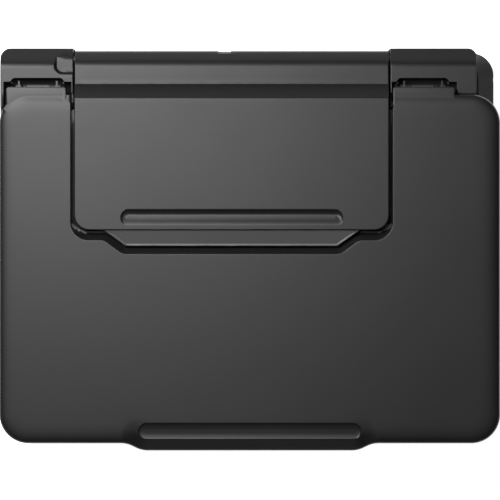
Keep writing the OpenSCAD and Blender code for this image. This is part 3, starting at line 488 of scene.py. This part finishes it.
# heights along Y behind the panel: step down to the rear strip, then the rounded rear edge
SUPPORT_Y = [0, 123.9, 124.6, 125.2, 136.0, 136.7, 150.5, 152.5, 154.3, 155.9, 157.3, 162.2, 163.8, 164.5]
SUPPORT_Z = [0, 0, -0.12, -0.6, -10.2, -10.8, -10.8, -11.05, -11.75, -12.85, -14.05, -18.5, -20.6, -24.6]
UNDER_Y = [0, 123, 128.5, 162.4, 164.5]
UNDER_Z = [170.9, 170.9, 162.2, 151.2, 151.0]
UNDER_LINES = (123, 124.8, 126.7, 128.5, 136, 144, 152, 162.4)


def make_support():
    x0, x1 = PAPER_X - SUPPORT_HALF, PAPER_X + SUPPORT_HALF
    back = support_high[1] + 0.8
    front_r = 12.5
    notch, notch_floor = (PAPER_X - 11, PAPER_X - 1), back - 2.1
    side_y = SUPPORT_Y[1:-2]
    edge = outline([(x0, SUPPORT_FRONT, front_r), (x1, SUPPORT_FRONT, front_r), *((x1, y, 0) for y in side_y),
                    (x1, back, 0.4), (notch[1], back, 0.3), (notch[1], notch_floor, 0.3),
                    (notch[0], notch_floor, 0.3), (notch[0], back, 0.3), (x0, back, 0.4),
                    *((x0, y, 0) for y in side_y[::-1])])
    groove_y = 18.7 + GROOVE_R
    groove = stadium(PAPER_X, groove_y, GROOVE_HALF - GROOVE_R, GROOVE_R)

    def top(xy):
        z = PANEL_TOP + np.interp(xy[:, 1], SUPPORT_Y, SUPPORT_Z) - crisp(-edge.distance(xy), EDGE_SIZE)
        return z - groove_depth(xy, groove, groove_y, 1.15, 0.0)

    def bottom(xy):
        return np.interp(xy[:, 1], UNDER_Y, UNDER_Z)

    lines = [edge.ring(-d) for d in EDGE_INSETS]
    lines += [groove.ring(d) for d in GROOVE_RINGS]
    lines += [line_x(y, x0 + 1.3, x1 - 1.3) for y in SUPPORT_Y[1:-2]]
    under = [line_x(y, x0 + 1, x1 - 1) for y in UNDER_LINES]
    return relief("support_panel", edge.points, top, bottom, lines, under)


def make_lip():
    """The liner's finger lip, with a raised rim round a sloping face."""
    front, back, front_half = 1.4, 14.6, 88
    edge = outline([(PAPER_X - front_half, front, 2), (PAPER_X + front_half, front, 2),
                    (PAPER_X + FINGER_WIDE, back, 0.5), (PAPER_X - FINGER_WIDE, back, 0.5)])
    rim_in, rim_z = [0, 0.3, 0.7, 2.4, 3.2], [-0.9, -0.2, 0.0, -0.62, -0.62]

    def top(xy):
        slope = np.interp(xy[:, 1], [front, back], [173.0, 175.0])
        rimmed = smooth_step((13.5 - xy[:, 1]) / 1.5)
        return slope + np.interp(-edge.distance(xy), rim_in, rim_z) * rimmed + rim_z[-1] * (1 - rimmed)

    return relief("liner_lip", edge.points, top, flat(170.4), [edge.ring(-d) for d in rim_in[1:]], spacing=4)


# ---------- scanner frame and hinges ----------

# rounded rear edge of the arms: y and drop
ARM_Y = [0, 150.3, 152.2, 153.8, 155.4, 163.8, 166.2, 166.7]
ARM_DROP = [0, 0, 0.25, 0.9, 2.0, 9.5, 11.6, 17.0]
SLOT_R = 3.8
SLOTS = ((-176.75, 22.05), (144.15, 21.65))
POCKET_DEEP = 5.0
POCKET_REAR = 158.7
STEP = 0.06
FRAME_R = 25.0
# opening of the frame over the glass, and the one of the ledge that carries it
GLASS_HOLE = (-157, -150, 152, 74)
LEDGE_HOLE = (-150, -143, 145, 67)
GLASS_R = 3
LEDGE_LOW = 155.5
LEDGE_TOP = 157.2


def make_frame():
    """Upper frame of the scanner unit: a deck round the glass and two rear arms, notched for the hinges."""
    side, front = frame_high[0], frame_low[1]
    centre = (side - FRAME_R, DECK_BACK - FRAME_R)
    reach = math.acos((RIGHT_ARM[1] - centre[0]) / FRAME_R)
    arc = [(centre[0] + FRAME_R * math.cos(a), centre[1] + FRAME_R * math.sin(a), 0)
           for a in np.linspace(0, reach, 12)]
    pocket_front = 144.1
    pocket_y = [pocket_front + d for d in (0, 0.4, 0.9, 1.4, 1.9, 2.3, 2.7)]
    side_y = sorted([ARM_FRONT, ARM_FRONT + STEP, ARM_FRONT + 0.5, *ARM_Y[1:-2], POCKET_REAR, 141, *pocket_y])
    outer_y = [y for y in side_y if y < 157]
    edge = outline([(LEFT_ARM[0], front, FRAME_R), (side, front, FRAME_R), *arc,
                    *((RIGHT_ARM[1], y, 0) for y in outer_y), (RIGHT_ARM[1], ARM_BACK, 7.5),
                    (RIGHT_ARM[0], ARM_BACK, 0.3), *((RIGHT_ARM[0], y, 0) for y in side_y[::-1]),
                    (RIGHT_ARM[0], 97, 1), (LEFT_ARM[1], 97, 1), *((LEFT_ARM[1], y, 0) for y in side_y),
                    (LEFT_ARM[1], ARM_BACK, 0.3), (LEFT_ARM[0], ARM_BACK, 9),
                    *((LEFT_ARM[0], y, 0) for y in outer_y[::-1]), (LEFT_ARM[0], RIM_FRONT + STEP, 0),
                    (LEFT_ARM[0], RIM_FRONT, 0)])
    glass = box_outline(*GLASS_HOLE, GLASS_R)
    slots = [stadium(c, HINGE_Y, half - SLOT_R, SLOT_R) for c, half in SLOTS]
    notches = [box_outline(x0, NOTCH_FRONT, x1, NOTCH_BACK) for x0, x1 in NOTCHES]
    pocket = box_outline(-163.3, pocket_front, -138, 176, 7.6)

    def top(xy):
        y = xy[:, 1]
        rim = crisp(-edge.distance(xy), EDGE_SIZE)
        arm = ARM_TOP - np.interp(y, ARM_Y, ARM_DROP)
        arm = np.minimum(arm, ARM_TOP - POCKET_DEEP * smooth_step(-pocket.distance(xy) / 2.7))
        notch = np.minimum(notches[0].distance(xy), notches[1].distance(xy))
        above = np.minimum(notch, y - np.where(xy[:, 0] < NOTCHES[0][0], RIM_FRONT, ARM_FRONT))
        arm = arm - np.maximum(rim, crisp(np.maximum(above - STEP, 0), SLOT_EDGE_SIZE))
        slot = np.minimum(slots[0].distance(xy), slots[1].distance(xy))
        low = np.where((notch <= 0) & (y > NOTCH_FRONT), NOTCH_FLOOR, DECK_TOP)
        z = low + (arm - low) * np.clip(above / STEP, 0, 1)
        return z - crisp(np.maximum(slot, 0), SLOT_EDGE_SIZE)

    lines = [edge.ring(-d) for d in EDGE_INSETS]
    lines += [slot.ring(d) for slot in slots for d in (0.07, 0.22, 0.45)]
    lines += [notch.ring(d) for notch in notches for d in (0, STEP, 0.13, 0.3, 0.5)]
    lines += [pocket.ring(-d) for d in (0, 0.4, 0.9, 1.35, 1.8, 2.3, 2.7)]
    for x0, x1 in (LEFT_ARM, RIGHT_ARM):
        steps_y = (RIM_FRONT, RIM_FRONT + STEP, ARM_FRONT, ARM_FRONT + STEP, ARM_FRONT + 0.5)
        lines += [line_x(y, x0, x1) for y in (*steps_y, 149.6, *ARM_Y[1:-1], POCKET_REAR)]
    return relief("frame_shell", edge.points, top, flat(frame_low[2] + 0.02), lines,
                  holes=[glass.points, *(slot.points for slot in slots)], spacing=14)


def make_glass_ledge():
    """Ledge of the frame that carries the glass."""
    x0, y0, x1, y1 = GLASS_HOLE
    edge = box_outline(x0 - 1, y0 - 1, x1 + 1, y1 + 1, GLASS_R)
    inner = box_outline(*LEDGE_HOLE, GLASS_R)
    return relief("glass_ledge", edge.points, flat(LEDGE_TOP), flat(LEDGE_LOW), holes=[inner.points],
                  spacing=30)


def hinge_side(back, top):
    """Side view of a hinge piece that hangs below a cover tab and reaches back to a rear edge."""
    front, low, bevel = 129.5, 161.8, 0.4
    return [(front, low), (back, low), (back, top - bevel), (back - bevel, top), (TAB_BACK + 0.1, top + 0.5),
            (front, low + 3)]


# pieces of a cover hinge: the offsets of both ends from the tab's outer end, the rear edge and the top
HINGE_PIECES = {
    "ledge": (17.0, 36.0, 136.2, 165.0),
    "knuckle_a": (7.8, 12.4, 136.1, 164.3),
    "knuckle_b": (14.1, 16.3, 136.0, 163.4),
    "knuckle_c": (36.7, 39.2, 136.0, 163.8),
    "knuckle_d": (39.8, 44.9, 136.1, 164.3),
    "fin_a": (9.8, 11.2, 139.3, 164.4),
    "fin_b": (41.3, 42.7, 139.3, 164.4),
}


def make_hinge(side, tab, mirror):
    """Ledge, knuckles and fins of one cover hinge, mirrored on the right."""
    start = tab[0] if mirror > 0 else tab[1]
    pieces = []
    for name, (a, b, back, top) in HINGE_PIECES.items():
        x0, x1 = sorted((start + mirror * a, start + mirror * b))
        pieces.append(prism_x(f"hinge_{name}_{side}", x0, x1, hinge_side(back, top)))
    return pieces


# side view of the dark strips, painted shade: black low-gloss rubber under the gaps beside the support makes
# those gaps read as shadow; they sit well below the support and are rounded at the back
GAP_SHADE_SIDE = [(128, 136), (166, 136), (166, 138), (162.5, 142), (150, 145), (128, 145)]


def make_gap_shade_strip(name, x0, x1):
    """Dark strip of the frame that closes the gap beside the paper support from below, as painted shade: its
    black low-gloss rubber makes the gap read as shadow.
    """
    return prism_x(f"gap_shade_strip_{name}", x0, x1, GAP_SHADE_SIDE)


def make_pins(name, slot):
    """Two short hinge pins at the ends of one slot of the frame."""
    centre, half = slot
    side = arc_points(HINGE_Y, HINGE_Z, PIN_R, 0, 345, 24)
    return [prism_x(f"hinge_pin_{name}_outer", centre - half, centre - half + PIN_STUB, side),
            prism_x(f"hinge_pin_{name}_inner", centre + half - PIN_STUB, centre + half, side)]


def make_slot_shade_strip(name, slot):
    """Black strip under one slot of the frame, painted shade: its low-gloss rubber makes the slot read as
    deep shadow. It has a raised rim in front and behind.
    """
    centre, half = slot
    front, back, low, bed, rim = 130.5, 144.5, 148.5, 149.6, 151.5
    side = [(front, low), (back, low), (back, rim), (back - 0.9, rim), (back - 1.7, bed), (front + 1.7, bed),
            (front + 0.9, rim), (front, rim)]
    return prism_x(f"slot_shade_strip_{name}", centre - half - 2, centre + half + 2, side)


def make_port():
    """Face of the data socket in the back, with a rim above and below its tongue."""
    inner, bed, tongue, rim = 163.9, 164.25, 164.8, 165.0
    low, high, rim_high, tongue_low, tongue_high = 21.6, 34.4, 1.6, 26.6, 29.4
    side = [(inner, low), (rim, low), (rim, low + rim_high), (bed, low + rim_high), (bed, tongue_low),
            (tongue, tongue_low), (tongue, tongue_high), (bed, tongue_high), (bed, high - rim_high),
            (rim, high - rim_high), (rim, high), (inner, high)]
    return prism_x("port_face", -180.9, -167.1, side)


# ---------- case ----------

CASE_R = 25.0
REAR_R = 19.0
CASE_BACK = 164.4


def squarer(points, half_x, back):
    """Tightens the two rear corners of the case from CASE_R to REAR_R."""
    centre_x, centre_y = half_x - CASE_R, back - CASE_R
    u, v = np.maximum(np.abs(points[:, 0]) - centre_x, 0), np.maximum(points[:, 1] - centre_y, 0)
    far = np.maximum(np.hypot(u, v), 1e-6)
    cos, sin = u / far, v / far
    reach = CASE_R - REAR_R
    middle = reach * (cos + sin)
    along = middle + np.sqrt(np.maximum(middle ** 2 - 2 * reach ** 2 + REAR_R ** 2, 0))
    scale = np.where((u > 0) & (v > 0), along / CASE_R, 1)
    grown = points.copy()
    grown[:, 0] = np.sign(points[:, 0]) * np.where(u > 0, centre_x + u * scale, np.abs(points[:, 0]))
    grown[:, 1] = np.where(v > 0, centre_y + v * scale, points[:, 1])
    return grown


def reshaped(node, name, change):
    """A copy of a CAD node's mesh whose points, in millimetres, go through change."""
    mesh = nodes[node].data.copy()
    mesh.name = name
    points = np.empty(len(mesh.vertices) * 3)
    mesh.vertices.foreach_get("co", points)
    to_world = np.array(nodes[node].matrix_world)
    world = points.reshape(-1, 3) @ to_world[:3, :3].T + to_world[:3, 3]
    mesh.vertices.foreach_set("co", (change(world / MM) * MM).ravel())
    mesh.update()
    mesh.materials.clear()
    obj = bpy.data.objects.new(name, mesh)
    bpy.context.scene.collection.objects.link(obj)
    soften(obj)
    return obj


def flush_back(points):
    """Brings the power unit's back level with the case."""
    flat_back = points.copy()
    flat_back[:, 1] = np.minimum(points[:, 1], CASE_BACK)
    return flat_back


# ---------- materials ----------

def plastic(name, color, rough=0.45, grain=2600.0, bump=0.08, vary=0.08, specular=0.3):
    """Moulded plastic: a fine spark-eroded grain, a slow drift of tone and a little uneven gloss."""
    mat = bpy.data.materials.new(name)
    mat.use_nodes = True
    tree = mat.node_tree
    links = tree.links
    shader = tree.nodes["Principled BSDF"]
    shader.inputs["Specular IOR Level"].default_value = specular
    coords = tree.nodes.new("ShaderNodeTexCoord")
    drift = tree.nodes.new("ShaderNodeTexNoise")
    drift.inputs["Scale"].default_value = 9.0
    drift.inputs["Detail"].default_value = 3.0
    links.new(coords.outputs["Object"], drift.inputs["Vector"])
    fine = tree.nodes.new("ShaderNodeTexNoise")
    fine.inputs["Scale"].default_value = grain
    fine.inputs["Detail"].default_value = 2.0
    links.new(coords.outputs["Object"], fine.inputs["Vector"])
    mix = tree.nodes.new("ShaderNodeMath")
    mix.operation = "MULTIPLY_ADD"
    mix.inputs[1].default_value = 0.5
    links.new(fine.outputs["Fac"], mix.inputs[0])
    slow = tree.nodes.new("ShaderNodeMath")
    slow.operation = "MULTIPLY"
    slow.inputs[1].default_value = 0.5
    links.new(drift.outputs["Fac"], slow.inputs[0])
    links.new(slow.outputs[0], mix.inputs[2])
    ramp = tree.nodes.new("ShaderNodeValToRGB")
    for element, place, scale in zip(ramp.color_ramp.elements, (0.3, 0.7), (1 - vary, 1 + vary)):
        element.position = place
        element.color = (*(c * scale for c in color), 1)
    links.new(mix.outputs[0], ramp.inputs["Fac"])
    links.new(ramp.outputs["Color"], shader.inputs["Base Color"])
    gloss = tree.nodes.new("ShaderNodeMapRange")
    gloss.inputs["To Min"].default_value = rough - 0.04
    gloss.inputs["To Max"].default_value = rough + 0.04
    links.new(drift.outputs["Fac"], gloss.inputs["Value"])
    links.new(gloss.outputs["Result"], shader.inputs["Roughness"])
    relief_node = tree.nodes.new("ShaderNodeBump")
    relief_node.inputs["Strength"].default_value = bump
    relief_node.inputs["Distance"].default_value = 0.0002
    links.new(fine.outputs["Fac"], relief_node.inputs["Height"])
    links.new(relief_node.outputs["Normal"], shader.inputs["Normal"])
    return mat


def metal(name, color, rough=0.3):
    mat = plastic(name, color, rough, grain=900.0, bump=0.05, vary=0.05)
    mat.node_tree.nodes["Principled BSDF"].inputs["Metallic"].default_value = 1.0
    return mat


looks = {
    "case_plastic": plastic("case_plastic", (0.0080, 0.0080, 0.0080), 0.415, specular=0.27),
    "trim_plastic": plastic("trim_plastic", (0.036, 0.036, 0.037), 0.45, specular=0.4),
    "mechanism_plastic": plastic("mechanism_plastic", (0.018, 0.018, 0.019), 0.5),
    "liner_plastic": plastic("liner_plastic", (0.030, 0.030, 0.031), 0.5),
    "rubber_feet": plastic("rubber", (0.008, 0.008, 0.008), 0.8, 1800, 0.2, specular=0.1),
    "roller_rubber": plastic("roller_rubber", (0.03, 0.03, 0.032), 0.7, 1500, 0.25),
    "belt_rubber": plastic("belt_rubber", (0.02, 0.02, 0.02), 0.75, 1500, 0.25),
    "sheet_steel": metal("sheet_steel", (0.55, 0.56, 0.57), 0.35),
    "shaft_steel": metal("shaft_steel", (0.62, 0.62, 0.63), 0.22),
    "motor_can": metal("motor_can", (0.5, 0.5, 0.52), 0.3),
    "gear_plastic": plastic("gear_plastic", (0.72, 0.70, 0.64), 0.4),
    "window": plastic("window", (0.003, 0.003, 0.004), 0.08, 40, 0.0, specular=0.25),
    "button": plastic("button", (0.10, 0.10, 0.105), 0.4),
    "pad_white": plastic("pad_white", (0.78, 0.78, 0.76), 0.7, 800, 0.3, 0.02),
    "circuit": plastic("circuit", (0.01, 0.09, 0.035), 0.35, 500, 0.1, 0.2),
    "ink_black": plastic("ink_black", (0.012, 0.012, 0.014), 0.2, 300, 0.0),
    "ink_cyan": plastic("ink_cyan", (0.02, 0.2, 0.42), 0.2, 300, 0.02),
    "ink_magenta": plastic("ink_magenta", (0.36, 0.015, 0.14), 0.2, 300, 0.02),
    "ink_yellow": plastic("ink_yellow", (0.62, 0.46, 0.02), 0.2, 300, 0.02),
    "glass": plastic("glass", (0.9, 0.95, 0.95), 0.06, 20, 0.0, 0.01),
}
looks["glass"].node_tree.nodes["Principled BSDF"].inputs["Transmission Weight"].default_value = 0.9
slot_of = {s["node"]: s["material_slot"] for s in frame["record"]["subparts"]}


def dress(node):
    """Gives a CAD node its material and softens its sharp edges."""
    obj = nodes[node]
    obj.data.materials.clear()
    obj.data.materials.append(looks[slot_of[node]])
    soften(obj)


def soften(obj, width=0.4):
    obj.modifiers.new("weld", "WELD").merge_threshold = 0.00001
    bevel = obj.modifiers.new("bevel", "BEVEL")
    bevel.width = width * MM
    bevel.segments = 2
    bevel.limit_method = "ANGLE"
    bevel.angle_limit = math.radians(40)
    obj.modifiers.new("normals", "WEIGHTED_NORMAL").keep_sharp = True


for name in nodes:
    dress(name)
# painted shade: the steel support pins get the dark mechanism plastic instead, so the gap where they show
# reads black
nodes["support_pins"].data.materials[0] = looks["mechanism_plastic"]


def place(piece, body, slot, *replaced):
    piece.data.materials.append(looks[slot])
    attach(piece, body)
    if replaced:
        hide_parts(*replaced)
    return piece


place(make_cover(), "document_cover", "case_plastic", "document_cover")
place(make_support(), "paper_support", "case_plastic", "paper_support")
place(make_lip(), "support_pins", "trim_plastic")
place(reshaped("power_supply", "power_unit", flush_back), "main_body", "trim_plastic", "power_supply")
for node, name, slot in (("outer_case", "case_shell", "case_plastic"),
                         ("base_case", "base_shell", "trim_plastic")):
    half, back = mm_box(node)[1][:2]
    place(reshaped(node, name, lambda p, h=half, b=back: squarer(p, h, b)), "main_body", slot, node)
place(make_frame(), "scanner_unit", "case_plastic", "scanner_frame")
place(make_glass_ledge(), "scanner_unit", "case_plastic")
place(make_port(), "main_body", "mechanism_plastic")
gap = 0.15
# dark rubber strips of painted shade under the gaps beside the support
place(make_gap_shade_strip("left", LEFT_ARM[1] - 1, PAPER_X - SUPPORT_HALF - gap), "scanner_unit", "rubber_feet")
place(make_gap_shade_strip("right", PAPER_X + SUPPORT_HALF + gap, RIGHT_ARM[0] + 1), "scanner_unit", "rubber_feet")
for side, tab, slot, mirror in (("left", LEFT_TAB, SLOTS[0], 1), ("right", RIGHT_TAB, SLOTS[1], -1)):
    for piece in make_pins(side, slot):
        place(piece, "scanner_unit", "mechanism_plastic")
    # black rubber strip of painted shade under the slot
    place(make_slot_shade_strip(side, slot), "scanner_unit", "rubber_feet")
    for piece in make_hinge(side, tab, mirror):
        place(piece, "document_cover", "case_plastic")

# ---------- stage, light and camera ----------


def make_stage():
    half = 6.0
    mesh = bpy.data.meshes.new("floor")
    corners = [(-half, -half, 0), (half, -half, 0), (half, half, 0), (-half, half, 0)]
    mesh.from_pydata(corners, [], [(0, 1, 2, 3)])
    floor = bpy.data.objects.new("floor", mesh)
    bpy.context.scene.collection.objects.link(floor)
    mat = bpy.data.materials.new("floor")
    mat.use_nodes = True
    shader = mat.node_tree.nodes["Principled BSDF"]
    shader.inputs["Base Color"].default_value = (0.86, 0.86, 0.86, 1)
    shader.inputs["Roughness"].default_value = 0.9
    shader.inputs["Emission Color"].default_value = (1, 1, 1, 1)
    shader.inputs["Emission Strength"].default_value = 1.0
    mesh.materials.append(mat)


def area_light(name, spot, aim, size, power):
    light = bpy.data.lights.new(name, "AREA")
    light.shape = "RECTANGLE"
    light.size, light.size_y = size
    light.energy = power
    obj = bpy.data.objects.new(name, light)
    obj.location = spot
    obj.rotation_euler = (Vector(aim) - Vector(spot)).to_track_quat("-Z", "Y").to_euler()
    bpy.context.scene.collection.objects.link(obj)


make_stage()
KEY_SPOT = (-0.423, 0.452, 1.157)
KEY_AIM = (-0.138, 0.201, 0.17)
KEY_SIZE = (0.200, 1.007)
KEY_POWER = 27.3
area_light("key", KEY_SPOT, KEY_AIM, KEY_SIZE, KEY_POWER)
world = bpy.data.worlds.new("studio")
world.use_nodes = True
world.node_tree.nodes["Background"].inputs["Color"].default_value = (1, 1, 1, 1)
world.node_tree.nodes["Background"].inputs["Strength"].default_value = 0.002
bpy.context.scene.world = world
bpy.context.scene.view_settings.view_transform = "Standard"

CAMERA_DISTANCE = 6.0
FOCUS_HEIGHT = 0.165
SEEN_WIDTH = 0.416
camera = bpy.data.cameras.new("camera")
camera.sensor_width = 36
camera.lens = camera.sensor_width * CAMERA_DISTANCE / SEEN_WIDTH
camera.clip_end = 50
eye = bpy.data.objects.new("camera", camera)
eye.location = (0.0002, -0.00168, FOCUS_HEIGHT + CAMERA_DISTANCE)
bpy.context.scene.collection.objects.link(eye)
bpy.context.scene.camera = eye
